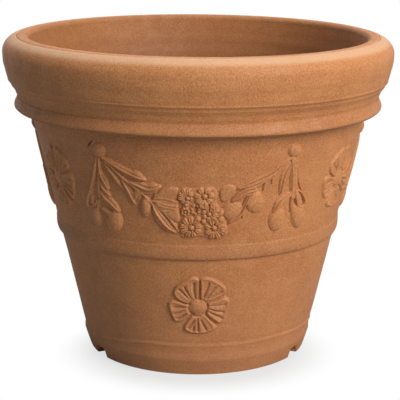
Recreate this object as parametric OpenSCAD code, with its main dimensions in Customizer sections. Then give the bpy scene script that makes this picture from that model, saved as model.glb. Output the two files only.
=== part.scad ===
// Festooned terracotta flower pot: a hand built clay body with bands, and pressed ornament luted on its wall.
// Millimetres, +Z up. The origin is on the ground at the middle of the foot, and the front faces -Y.

/* [Body] */
// Height of the pot from the ground to the top of its lip
pot_h = 410; // [398:1:440]
// Diameter over the rim at its widest
rim_d = 500; // [496:1:512]
// Thickness of the clay wall, measured level
wall_t = 20; // [15:0.5:26]

/* [Foot and base] */
// Diameter of the foot where it meets the ground
foot_d = 286; // [276:1:292]
// How far the foot leans out from the ground line to its upright band
foot_flare = 6.5; // [1:0.5:12]
// Height of the foot's upright band above the ground
foot_band_z = 21; // [18:1:26]
// Width of the ring that meets the ground
foot_ring_w = 26; // [20:1:32]
// Clear height under the base slab
slab_lift = 14; // [14:1:18]
// Thickness of the base slab
slab_t = 16; // [14:1:22]
// Width of the ledge in the foot ring that carries the base slab
slab_ledge = 13; // [9:1:16]
// Diameter of the drain hole in the base slab
drain_d = 36; // [24:1:50]
// Width of each arched drain notch at the ground
notch_w = 26; // [18:1:27]

/* [Rim and collar] */
// Height of the rim band from its lower edge to the top of the lip
rim_h = 76; // [70:1:84]
// Height of the rim's rounded shoulder
roll_h = 20; // [14:1:26]
// Level width of the rim's rounded shoulder
roll_w = 22; // [18:1:26]
// How far the rim's face leans in from its widest to its lower ridge
face_lean = 6.2; // [4:0.2:8]
// Height of the rim's hollow underside, from its lower edge to its lower ridge
under_h = 21.5; // [18:0.5:26]
// How far the rim stands out past the collar
rim_step = 14; // [11:0.5:16]
// How far the groove over the collar lies behind the collar's widest line
groove_in = 4; // [2:0.5:7]
// How far the collar stands out past the wall under it
collar_step = 20; // [18:0.5:24]
// Height of the collar band
collar_h = 15.5; // [12:0.5:20]
// Radius of the collar's lower edge
collar_edge = 3; // [1.5:0.5:4]
// Radius of the lip's inner edge
lip_round = 6; // [3:0.5:7]

/* [Belt] */
// Height of the clear wall between the belt and the collar
panel_h = 140.5; // [134:0.5:150]
// Height of the belt band
belt_h = 19; // [15:1:21]
// How far the belt stands proud of the wall
belt_proud = 3.6; // [2.5:0.1:6]
// Thickness of the belt at its thin edges
belt_edge = 0.6; // [0.4:0.1:1.2]

/* [Garland] */
// Height of the middle of the flower cluster above the belt
garland_lift = 44; // [38:1:50]
// How far the flower cluster sits to the right of the garland's centre line
cluster_shift = 2.5; // [-4:0.5:4]
// Width of the flower cluster
cluster_w = 56; // [50:1:60]
// Height of the flower cluster
cluster_h = 67; // [62:1:72]
// Distance of the left knob from the garland's centre line, along the wall
left_reach = 125.5; // [118:0.5:130]
// Distance of the right knob from the garland's centre line, along the wall
right_reach = 118.5; // [116:0.5:130]
// Height of the knobs above the middle of the flower cluster
knob_rise = 71.5; // [66:0.5:76]
// Diameter of each knob
knob_d = 19; // [16:1:21]
// How far each knob stands proud of the wall
knob_proud = 5; // [3.5:0.5:7]
// How far the swags sag below the middle of a straight line
swag_sag = 8.5; // [5:0.5:11]
// Length of each hanging pendant, from its knob to the top of its fruits
pendant_drop = 72; // [66:1:74]
// How far the leaves and fruits stand proud of the wall
relief = 4.5; // [3:0.5:5.5]

/* [Rosettes] */
// Height of the middle of the rosettes between the garlands, above the belt
rosette_lift = 65; // [52:1:78]
// How far the rosettes under the garlands sit above the middle of the wall below the belt
rosette_rise = 1.5; // [-8:0.5:8]
// Diameter of each rosette over its petals
rosette_d = 76; // [66:1:82]
// Diameter of the domed eye of each rosette
eye_d = 21; // [17:1:24]
// How far the petals stand proud of the wall
petal_proud = 3.6; // [2.5:0.1:5]

/* [Fit] */
// Joint left between a luted piece and the clay that carries it
seat = 0.15; // [0.1:0.05:0.3]

/* [Hidden] */
GARLANDS = [1, 2, 3];
SPRIGS = [
  "flower_cluster", "swag_left", "swag_right", "pendant_left", "pendant_right",
  "knob_left", "knob_right", "wall_rosette", "lower_rosette"
];

clay = "#b9794c";
clay_shade = "#a5673f";
clay_light = "#c98b5a";

foot_h = slab_lift + slab_t;
collar_z = pot_h - rim_h - collar_h;
rim_z = pot_h - rim_h;
belt_top_z = collar_z - panel_h;
belt_z = belt_top_z - belt_h;
garland_z = belt_top_z + garland_lift;
wall_rosette_z = belt_top_z + rosette_lift;
lower_rosette_z = (belt_z + foot_h) / 2 + rosette_rise;
collar_d = rim_d - 2 * rim_step;
groove_d = collar_d - 2 * groove_in;
wall_top_d = collar_d - 2 * collar_step;
wall_foot_d = foot_d + 2 * foot_flare;
wall_lean = (wall_top_d - wall_foot_d) / 2 / (collar_z - foot_h);
tilt = atan(wall_lean);
turn_step = 360 / len(GARLANDS);
roll_start = rim_d / 2 - roll_w;
slab_r = foot_d / 2 - foot_ring_w + slab_ledge;

$fn = 96;
core_fn = 360;
arc_steps = 8;
curve_steps = 10;

// Radius of the wall's outer face at a height
function wall_r(z) = wall_foot_d / 2 + wall_lean * (z - foot_h);
// Height of the rounded top of the lip and rim at a radius
function crest_z(r) = r < roll_start ? pot_h
  : pot_h - roll_h * (1 - sqrt(max(0, 1 - pow((r - roll_start) / roll_w, 2))));
// A point between two others, and a point on a curve that bends towards a third
function between(a, b, t) = a + (b - a) * t;
function bend(a, c, b, t) = (1 - t) * (1 - t) * a + 2 * t * (1 - t) * c + t * t * b;
// A smooth step from 0 to 1
function ease(t) = (1 - cos(180 * t)) / 2;
// Points of an arc about a centre, from one angle to another
function arc(c, r, a0, a1) = [
  for (i = [0:arc_steps]) let (a = between(a0, a1, i / arc_steps)) c + r * [cos(a), sin(a)]
];
function rotated(p, a) = [p[0] * cos(a) - p[1] * sin(a), p[0] * sin(a) + p[1] * cos(a)];

// The foot ring in section: an upright band, a lean in to the ground, and a ledge that carries the slab
module foot_section() {
  ring_in = foot_d / 2 - foot_ring_w;
  polygon([
    [ring_in, 0],
    [foot_d / 2 - 1.5, 0],
    [foot_d / 2, 1.5],
    [wall_foot_d / 2, foot_band_z],
    [wall_foot_d / 2, foot_h],
    [slab_r + seat, foot_h],
    [slab_r + seat, slab_lift],
    [ring_in, slab_lift]
  ]);
}

// Arched mouths through the foot ring, between the garlands, each arch centred just below the ground
module notches() {
  sink = 0.5;
  for (i = GARLANDS)
    rotate([0, 0, turn_step * (i - 0.5)])
      translate([0, 15 - foot_d / 2 + foot_ring_w, -sink])
        rotate([90, 0, 0])
          cylinder(d = notch_w, h = foot_ring_w * 2 + 30);
}

module foot_ring() {
  color(clay_shade)
    difference() {
      rotate_extrude() foot_section();
      notches();
    }
}

// The slab lies on the foot ring's ledge and drains through its middle
module base_slab() {
  color(clay_shade)
    translate([0, 0, slab_lift])
      difference() {
        cylinder(r = slab_r, h = slab_t);
        translate([0, 0, -1]) cylinder(d = drain_d, h = slab_t + 2);
      }
}

// The wall in section: one straight leaning wall with a rounded lip
module wall_section() {
  top_r = wall_r(crest_z(wall_r(pot_h)));
  in_top = wall_r(pot_h - lip_round) - wall_t;
  lip_c = [in_top + lip_round, pot_h - lip_round];
  polygon(concat(
    [[wall_foot_d / 2 - wall_t, foot_h], [wall_foot_d / 2, foot_h]],
    [for (i = [0:arc_steps])
      let (r = between(top_r, max(lip_c[0] + 0.5, roll_start - 1), i / arc_steps)) [r, crest_z(r)]],
    arc(lip_c, lip_round, 90, 180)
  ));
}

module pot_wall() {
  color(clay)
    rotate_extrude() wall_section();
}

// The wall's outer face as a solid, widened by the joint, to seat the luted pieces on
module wall_core(fn) {
  cylinder(h = pot_h, r1 = wall_r(0) + seat, r2 = wall_r(pot_h) + seat, $fn = fn);
}

// The belt in section: full and round below, and dying out into the wall above
module belt_section() {
  steps = [for (i = [0:curve_steps]) i / curve_steps];
  polygon(concat(
    [[wall_r(belt_top_z) + seat, belt_top_z], [wall_r(belt_z) + seat, belt_z]],
    [for (s = steps)
      let (z = between(belt_z, belt_top_z, s))
      [wall_r(z) + seat + belt_edge + belt_proud * sin(180 * pow(s, 0.6)), z]]
  ));
}

module belt_band() {
  color(clay)
    rotate_extrude() belt_section();
}

// The collar in section: a band that swells downwards to a rounded edge over a flat underside
module collar_section() {
  edge_c = [collar_d / 2 - collar_edge, collar_z + collar_edge];
  polygon(concat(
    [[wall_r(rim_z) + seat, rim_z], [wall_r(collar_z) + seat, collar_z]],
    arc(edge_c, collar_edge, -90, 0),
    [for (i = [1:curve_steps])
      let (s = i / curve_steps)
      [between(collar_d / 2, groove_d / 2, ease(s)), between(edge_c[1], rim_z, s)]]
  ));
}

module collar_band() {
  color(clay)
    rotate_extrude() collar_section();
}

// The rim in section: a hollow underside, two fine ridges, a leaning face and a rounded shoulder
module rim_section() {
  ridge = 0.8;
  ridge_gap = 6;
  ridge_z = rim_z + under_h;
  ridge_r = rim_d / 2 - face_lean;
  low_r = ridge_r - 4.4;
  low_z = ridge_z - ridge_gap;
  face_z = pot_h - roll_h;
  top_r = wall_r(pot_h) + seat;
  polygon(concat(
    [[wall_r(crest_z(top_r)) + seat, crest_z(top_r)], [wall_r(rim_z) + seat, rim_z]],
    [for (i = [0:curve_steps])
      let (s = i / curve_steps)
      [between(groove_d / 2, low_r, pow(s, 1.5)), between(rim_z, low_z, s)]],
    [[low_r + ridge, low_z + 0.8],
     [low_r + ridge, low_z + 1.6],
     [ridge_r - 1.2, ridge_z - 1.6],
     [ridge_r + ridge, ridge_z - 0.4],
     [ridge_r + ridge, ridge_z + 0.4],
     [ridge_r, ridge_z + 1.4]],
    [for (i = [1:curve_steps])
      let (s = i / curve_steps)
      [between(ridge_r, rim_d / 2, sin(90 * s)), between(ridge_z + 1.4, face_z, s)]],
    [for (i = [1:curve_steps])
      let (a = 90 * i / curve_steps, r = roll_start + roll_w * cos(a))
      if (r > top_r + 0.5) [r, face_z + roll_h * sin(a)]]
  ));
}

module rim_band() {
  color(clay)
    rotate_extrude() rim_section();
}

// Puts a piece on the wall at a distance along the wall from the front line and at a height,
// with its own x along the wall, its y up the wall and its z out of the wall
module on_wall(u, z) {
  rotate([0, 0, u / wall_r(z) * 180 / PI])
    translate([0, -wall_r(z), z])
      rotate([90 + tilt, 0, 0])
        children();
}

// Puts a piece on the wall midway between two garland points, with its y running from the first to the
// second. Garland points count from the middle of the garland's centre line, along the wall and up it
module along(a, b) {
  on_wall((a[0] + b[0]) / 2, garland_z + (a[1] + b[1]) / 2)
    rotate([0, 0, atan2(b[1] - a[1], b[0] - a[0]) - 90])
      children();
}

// Radius of the round section that shows a given half width and stands a given height proud
function swell(half, proud) = (half * half + proud * proud) / (2 * proud);

// A piece of stem between two garland points
module stem(a, b, r) {
  along(a, b)
    translate([0, 0, r * 0.1])
      rotate([90, 0, 0])
        cylinder(r = r, h = norm(b - a) + r, center = true);
}

// A strand of stem through garland points
module strand(points, r) {
  for (i = [1:len(points) - 1]) stem(points[i - 1], points[i], r);
}

// A pointed leaf between two garland points, with a barrelled face and furrows along it
module leaf(a, b, w, furrows = 1) {
  half_l = norm(b - a) / 2 + 1;
  side_r = swell(half_l, w / 2);
  barrel_r = swell(w / 2, relief * 0.6);
  depth = 5;
  along(a, b)
    difference() {
      intersection() {
        translate([side_r - w / 2, 0, -depth]) cylinder(r = side_r, h = depth + relief * 2);
        translate([w / 2 - side_r, 0, -depth]) cylinder(r = side_r, h = depth + relief * 2);
        translate([0, 0, relief - barrel_r])
          rotate([90, 0, 0])
            cylinder(r = barrel_r, h = half_l * 2 + 2, center = true);
      }
      for (i = [1:furrows])
        rotate([0, 0, (i - (furrows + 1) / 2) * 14])
          translate([0, -half_l * 0.08, relief + 0.3])
            rotate([90, 0, 0])
              cylinder(r = 1.3, h = half_l * 1.5, center = true, $fn = 32);
    }
}

// A round or long fruit, its width and length measured at the wall
module fruit(a, b, w) {
  proud = relief * 1.1;
  body_r = swell(w / 2, proud);
  sunk = body_r - proud;
  half_l = norm(b - a) / 2 / sqrt(1 - pow(sunk / body_r, 2));
  steps = 14;
  along(a, b)
    translate([0, 0, -sunk])
      rotate([90, 0, 0])
        rotate_extrude()
          polygon([for (i = [0:steps]) let (a = 180 * i / steps) [body_r * sin(a), half_l * cos(a)]]);
}

// The narrow neck of a pear, widening from a towards b
module neck(a, b, r1, r2) {
  along(a, b)
    translate([0, 0, -r2 * 0.45])
      rotate([-90, 0, 0])
        cylinder(r1 = r1, r2 = r2, h = norm(b - a), center = true);
}

// Distance of the knob from the centre line, at side -1 or 1
function reach(side) = side < 0 ? left_reach : right_reach;

// Points of a swag's branch from its knob to the edge of the cluster: a share of the way along,
// and a distance off the branch, upwards when positive
function branch(side, t, off) =
  let (
    a = [side * reach(side), knob_rise],
    b = [cluster_shift + side * (cluster_w / 2 + 16), -4],
    c = [a[0] * (side < 0 ? 0.65 : 0.53), knob_rise / 2 - swag_sag],
    p = bend(a, c, b, t),
    d = bend(a, c, b, t + 0.01) - bend(a, c, b, t - 0.01),
    n = [-d[1], d[0]] / norm(d)
  )
  p - side * off * n;

// Points of a pendant under its knob: a distance to the right of the knob, and a share of the drop
function hung(side, right, t) = [side * reach(side) + right, knob_rise - pendant_drop * t];

// Flowers of the cluster: places as shares of its half width and half height, and radii as shares of its half width
FLORETS = [
  [[-0.5, 0.56], 0.46], [[0.24, 0.6], 0.45], [[-0.62, 0.13], 0.3], [[-0.02, 0.1], 0.32],
  [[0.6, 0.15], 0.36], [[0.3, -0.2], 0.26], [[-0.38, -0.46], 0.54], [[0.46, -0.52], 0.48]
];

// The flower cluster's outline as upright discs, one round each flower
module cluster_plan(extra) {
  for (f = FLORETS)
    on_wall(cluster_shift, garland_z)
      translate([f[0][0] * cluster_w / 2, f[0][1] * cluster_h / 2, -12])
        cylinder(r = f[1] * cluster_w / 2 * 1.07 + extra, h = 36);
}

// Keeps a sprig outside the wall, clear of its knobs and of the flower cluster
module trim_sprig() {
  difference() {
    union() children();
    wall_core(core_fn);
    for (side = [-1, 1])
      on_wall(side * reach(side), garland_z + knob_rise) knob_ball(seat);
    cluster_plan(seat);
  }
}

// The knob as the cap of a ball whose centre lies behind the wall's face
module knob_ball(extra) {
  ball_r = swell(knob_d / 2, knob_proud);
  translate([0, 0, knob_proud - ball_r]) sphere(r = ball_r + extra);
}

module knob(side) {
  color(clay_light)
    difference() {
      on_wall(side * reach(side), garland_z + knob_rise) knob_ball(0);
      wall_core(core_fn);
    }
}

// Left swag: leaves off a branch, a hanging fruit, and a fan of blades against the cluster
module swag_left() {
  color(clay)
    trim_sprig() {
      strand([for (t = [0:0.2:1.01]) branch(-1, t, 0)], 2.4);
      leaf(branch(-1, 0.06, -2), branch(-1, 0.56, 16), 10);
      leaf(branch(-1, 0.1, -1), branch(-1, 0.43, -12), 7);
      leaf(branch(-1, 0.46, 0), branch(-1, 0.73, 26), 14, 2);
      leaf(branch(-1, 0.4, -1), branch(-1, 0.67, -15), 10.5);
      leaf(branch(-1, 0.66, 0), branch(-1, 0.92, 37), 16, 0);
      leaf(branch(-1, 0.76, 1), branch(-1, 1.1, 20), 11, 2);
      leaf(branch(-1, 0.85, -1), branch(-1, 1.2, -8.5), 14, 1);
      fruit(branch(-1, 0.7, -1), branch(-1, 0.88, -17), 13);
    }
}

// Right swag: a long upper strand, a branch with leaves, and two round fruits
module swag_right() {
  color(clay)
    trim_sprig() {
      strand([for (t = [0:0.2:1.21]) branch(1, t, 0)], 2.4);
      strand([branch(1, 0, 0), branch(1, 0.3, 3), branch(1, 0.51, 8.5), branch(1, 0.68, 20)], 2.2);
      leaf(branch(1, 0.5, 3), branch(1, 0.86, 17), 11);
      leaf(branch(1, 0.36, 1), branch(1, 0.52, -12), 8);
      leaf(branch(1, 0.62, 14), branch(1, 0.88, 34), 16, 0);
      leaf(branch(1, 0.84, -1), branch(1, 1.26, -4), 9);
      fruit(branch(1, 0.66, 1), branch(1, 0.74, -18), 21);
      fruit(branch(1, 0.84, 9), branch(1, 1.04, 9), 21);
    }
}

// Left pendant: a long leaf, short leaves, an olive and a pear
module pendant_left() {
  color(clay)
    trim_sprig() {
      strand([hung(-1, 0, 0), hung(-1, -5, 0.2), hung(-1, -7, 0.7), hung(-1, -10, 1.12)], 2.4);
      leaf(hung(-1, -4, 0.12), hung(-1, -25, 1.04), 11);
      leaf(hung(-1, -7.5, 0.41), hung(-1, 9, 0.67), 7);
      leaf(hung(-1, -8.5, 0.54), hung(-1, 11, 0.8), 7);
      leaf(hung(-1, -11, 0.71), hung(-1, 26, 1.08), 14);
      fruit(hung(-1, -12, 1.06), hung(-1, -13, 1.43), 17);
      neck(hung(-1, 4, 0.9), hung(-1, 18, 1.26), 4.4, 7);
      fruit(hung(-1, 14, 1.16), hung(-1, 22, 1.44), 18);
    }
}

// Right pendant: grooved leaves, a round leaf, a thin bud, an olive and a pear
module pendant_right() {
  color(clay)
    trim_sprig() {
      strand([hung(1, 0, 0), hung(1, -2.5, 0.2), hung(1, 0, 0.85), hung(1, 3, 1.05)], 2);
      strand([hung(1, 0, 0), hung(1, 4, 0.2), hung(1, 10.5, 0.65)], 1.8);
      leaf(hung(1, 9, 0.55), hung(1, 12, 0.84), 6, 0);
      leaf(hung(1, -2, 0.22), hung(1, -20, 0.78), 10);
      leaf(hung(1, 0, 0.74), hung(1, -26, 1.06), 10);
      leaf(hung(1, 1, 0.76), hung(1, 21, 1.06), 12, 0);
      strand([hung(1, -13, 0.85), hung(1, -19, 1.15)], 1.8);
      fruit(hung(1, -19, 1.05), hung(1, -20, 1.44), 18);
      neck(hung(1, 3.5, 0.98), hung(1, 8, 1.22), 3.4, 7);
      fruit(hung(1, 7, 1.1), hung(1, 9.5, 1.44), 17);
    }
}

// One flower of the cluster: petals round a boss, as balls sunk in the wall, in the cluster's own frame
module floret(p, r, petals) {
  ball_r = r * 0.46;
  for (i = [0:petals - 1])
    translate(concat(p + rotated([0, r * 0.6], 360 * i / petals + 20), relief * 1.3 - ball_r))
      sphere(r = ball_r, $fn = 48);
  translate(concat(p, relief * 1.55 - r * 0.36)) sphere(r = r * 0.36, $fn = 48);
}

module flower_cluster() {
  half = [cluster_w / 2, cluster_h / 2];
  pad_proud = relief * 0.6;
  color(clay_light)
    difference() {
      on_wall(cluster_shift, garland_z)
        union() {
          for (f = FLORETS)
            floret([f[0][0] * half[0], f[0][1] * half[1]], f[1] * half[0], 5);
          for (s = [-1, 1])
            translate([0, s * (half[1] - half[0]), -9])
              cylinder(r = half[0] * 0.8, h = 9 + pad_proud);
        }
      wall_core(core_fn);
    }
}

// A rosette: five broad petals with three furrows each, round a domed eye
module rosette(u, z) {
  petals = 5;
  furrow_r = 1.6;
  r_out = rosette_d / 2;
  corner = r_out * 0.2;
  spread = r_out * 0.31;
  depth = 5;
  difference() {
    on_wall(u, z)
      union() {
        difference() {
          for (i = [0:petals - 1])
            rotate([0, 0, 360 * i / petals + 36])
              translate([0, 0, -depth])
                linear_extrude(height = depth + petal_proud)
                  union() {
                    polygon([[-2, 4], [2, 4],
                      [spread + corner * 0.94, r_out - corner * 1.2], [spread, r_out - 0.4],
                      [-spread, r_out - 0.4], [-spread - corner * 0.94, r_out - corner * 1.2]]);
                    for (s = [-1, 1]) translate([s * spread, r_out - corner]) circle(r = corner);
                  }
          translate([0, 0, petal_proud * 0.5])
            cylinder(r1 = 0, r2 = r_out * 1.02, h = petal_proud * 0.55);
          for (i = [0:petals - 1], a = [-17, 0, 17])
            rotate([0, 0, 360 * i / petals + 36 + a])
              translate([0, eye_d * 0.62 + r_out * 0.24, petal_proud + 0.4])
                rotate([90, 0, 0])
                  cylinder(r = furrow_r, h = r_out * 0.5, center = true, $fn = 48);
        }
        translate([0, 0, -depth]) cylinder(d = eye_d + 3, h = depth + petal_proud * 0.4);
        translate([0, 0, petal_proud * 1.5 - eye_d / 2]) sphere(d = eye_d);
      }
    wall_core(core_fn);
  }
}

module lower_rosette() {
  color(clay_light) rosette(0, lower_rosette_z);
}

module wall_rosette() {
  color(clay_light)
    rotate([0, 0, turn_step / 2]) rosette(0, wall_rosette_z);
}

// Turns a sprig to its own garland
module turn(i) {
  rotate([0, 0, turn_step * (i - 1)]) children();
}

base_slab();
foot_ring();
pot_wall();
belt_band();
collar_band();
rim_band();
for (i = GARLANDS) {
  turn(i) flower_cluster();
  turn(i) swag_left();
  turn(i) swag_right();
  turn(i) pendant_left();
  turn(i) pendant_right();
  turn(i) knob(-1);
  turn(i) knob(1);
  turn(i) wall_rosette();
  turn(i) lower_rosette();
}
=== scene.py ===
"""Looks of the festooned terracotta flower pot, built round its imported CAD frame.

Lengths in the lists below are millimetres. The pot stands on the ground at the origin with its front towards -Y.
A point on the wall is (u, z): u runs round the wall from the front line at the wall's own radius, z is its height.
"""

import math
from functools import cached_property

import bpy
import numpy as np
from mathutils import Matrix, Vector


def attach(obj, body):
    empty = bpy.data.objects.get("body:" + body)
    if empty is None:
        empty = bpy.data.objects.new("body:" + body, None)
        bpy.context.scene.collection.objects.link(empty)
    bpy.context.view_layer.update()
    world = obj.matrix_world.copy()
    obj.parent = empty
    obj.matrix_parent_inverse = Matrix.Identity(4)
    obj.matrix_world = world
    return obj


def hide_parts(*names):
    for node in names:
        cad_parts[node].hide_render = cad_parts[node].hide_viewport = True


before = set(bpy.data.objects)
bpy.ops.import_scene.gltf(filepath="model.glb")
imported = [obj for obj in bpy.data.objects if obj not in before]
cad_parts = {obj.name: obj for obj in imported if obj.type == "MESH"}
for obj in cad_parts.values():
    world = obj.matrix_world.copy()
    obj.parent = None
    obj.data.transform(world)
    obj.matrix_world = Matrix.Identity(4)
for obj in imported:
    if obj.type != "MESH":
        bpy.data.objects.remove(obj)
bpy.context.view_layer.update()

MM = 0.001
FOOT_TOP = 30.0
FOOT_RADIUS = 149.5
SLOPE = 0.2305  # how much the wall's radius grows with its height
TILT = math.atan(SLOPE)
WALL_THICK = 20


# ---- The wall's face ----------------------------------------------------------------------------------------------


def wall_radius(z):
    """Radius of the plain wall at a height."""
    return FOOT_RADIUS + SLOPE * (z - FOOT_TOP)


def soft_noise(a, z, cells, rows, step, seed):
    """Smooth noise from -1 to 1. It repeats every third of a turn, so that each garland lies on the same wall."""
    table = np.random.default_rng(seed).uniform(-1, 1, (cells, rows))
    x = (a / (2 * math.pi / 3) % 1.0) * cells
    y = np.clip(np.asarray(z, float) / step, 0, rows - 2.001)
    i, j = np.floor(x).astype(int), np.floor(y).astype(int)
    s, t = x - i, y - j
    s, t = s * s * (3 - 2 * s), t * t * (3 - 2 * t)
    i0, i1 = i % cells, (i + 1) % cells
    return (
        table[i0, j] * (1 - s) * (1 - t)
        + table[i1, j] * s * (1 - t)
        + table[i0, j + 1] * (1 - s) * t
        + table[i1, j + 1] * s * t
    )


def hand_work(a, z):
    """How far the hand finished wall strays from a true cone, in broad, middling and small waves."""
    return (
        0.35 * soft_noise(a, z, 6, 9, 60, 3)
        + 0.22 * soft_noise(a, z, 16, 24, 22, 5)
        + 0.08 * soft_noise(a, z, 46, 60, 8, 8)
    )


def crease(a, z):
    """The soft line above the foot, high at the front and sinking towards the sides, most at the left."""
    deg = np.degrees((a + math.pi) % (2 * math.pi) - math.pi)
    line = 41 - 17 * np.clip((-25 - deg) / 46, 0, 1) - 6 * np.clip((deg - 40) / 60, 0, 1)
    d = z - line
    return 0.9 * np.exp(-((d / 1.7) ** 2)) - 0.5 * np.exp(-(((d - 3.6) / 2.4) ** 2))


def face_radius(a, z):
    """Radius of the real wall, hand finish and all, where the ornament is pressed on."""
    return wall_radius(z) + hand_work(a, z)


# ---- Turned pieces ------------------------------------------------------------------------------------------------


def spline(points, per):
    """A smooth line through points of any number of columns."""
    p = np.array(points, float)
    q = np.vstack([2 * p[:1] - p[1:2], p, 2 * p[-1:] - p[-2:-1]])
    t = (np.arange(per) / per)[:, None]
    parts = []
    for b in range(1, len(q) - 2):
        w, x, y, v = q[b - 1], q[b], q[b + 1], q[b + 2]
        parts.append(
            0.5 * (2 * x + (y - w) * t + (2 * w - 5 * x + 4 * y - v) * t**2 + (3 * x - w - 3 * y + v) * t**3)
        )
    return np.vstack(parts + [p[-1:]])


def spaced(points, step):
    """The same line with points at an even step, its corners kept."""
    p = np.array(points, float)
    out = [p[:1]]
    for a, b in zip(p[:-1], p[1:]):
        n = max(1, int(math.ceil(np.linalg.norm(b - a) / step)))
        out.append(a + (b - a) * (np.arange(1, n + 1) / n)[:, None])
    return np.vstack(out)


def arc(cr, cz, rr, rz, a0, a1, n):
    """Points of an elliptical arc in the (radius, height) plane."""
    a = np.radians(np.linspace(a0, a1, n + 1))
    return np.stack([cr + rr * np.cos(a), cz + rz * np.sin(a)], 1)


def even_turn(n):
    """Even angles of a whole turn."""
    return np.arange(n) * (2 * math.pi / n)


BODY_TURNS = even_turn(384)
SLAB_TURNS = even_turn(192)
SHARP_TURNED, SHARP_PRESSED = 35, 60  # degrees between two faces from which their edge is kept sharp


def new_object(name, data):
    """An object that is in the scene."""
    obj = bpy.data.objects.new(name, data)
    bpy.context.scene.collection.objects.link(obj)
    return obj


def new_piece(name, vertices, faces, smooth_angle):
    """A mesh object from vertices in millimetres."""
    mesh = bpy.data.meshes.new(name)
    mesh.from_pydata((np.asarray(vertices) * MM).tolist(), [], faces)
    mesh.polygons.foreach_set("use_smooth", [True] * len(mesh.polygons))
    mesh.set_sharp_from_angle(angle=math.radians(smooth_angle))
    mesh.update()
    return new_object(name, mesh)


def turned(name, profile, turns, shape):
    """A closed ring swept from a closed profile of (radius, height), its outer side running upwards.
    shape(angle, radius, height) gives each point's real radius and height."""
    p = np.array(profile, float)
    keep = np.linalg.norm(p - np.roll(p, 1, axis=0), axis=1) > 1e-6
    p = p[keep]
    a = np.asarray(turns)[:, None]
    r = np.repeat(p[None, :, 0], len(turns), 0)
    z = np.repeat(p[None, :, 1], len(turns), 0)
    r, z = shape(np.repeat(a, len(p), 1), r, z)
    xyz = np.stack([r * np.sin(a), -r * np.cos(a), z], 2).reshape(-1, 3)
    n, m = len(turns), len(p)
    i, j = np.meshgrid(np.arange(n), np.arange(m), indexing="ij")
    i1, j1 = (i + 1) % n, (j + 1) % m
    faces = np.stack([i * m + j, i1 * m + j, i1 * m + j1, i * m + j1], 2).reshape(-1, 4)
    return new_piece(name, xyz, faces.tolist(), SHARP_TURNED)


# ---- Pressed relief -----------------------------------------------------------------------------------------------

SEATED_BELOW = 0.1  # a relief lower than this is left out
EDGE_SUNK = 0.5  # how far its edge dips into the wall
BACK_SUNK = 2.5  # how far its flat back lies inside the wall
MERGE = 6  # strokes are added up at this power, so that the highest one wins and they run together softly
DOME_ROUND, LEAF_ROUND = 0.62, 0.6  # powers that give domes and leaves their cross section


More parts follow.
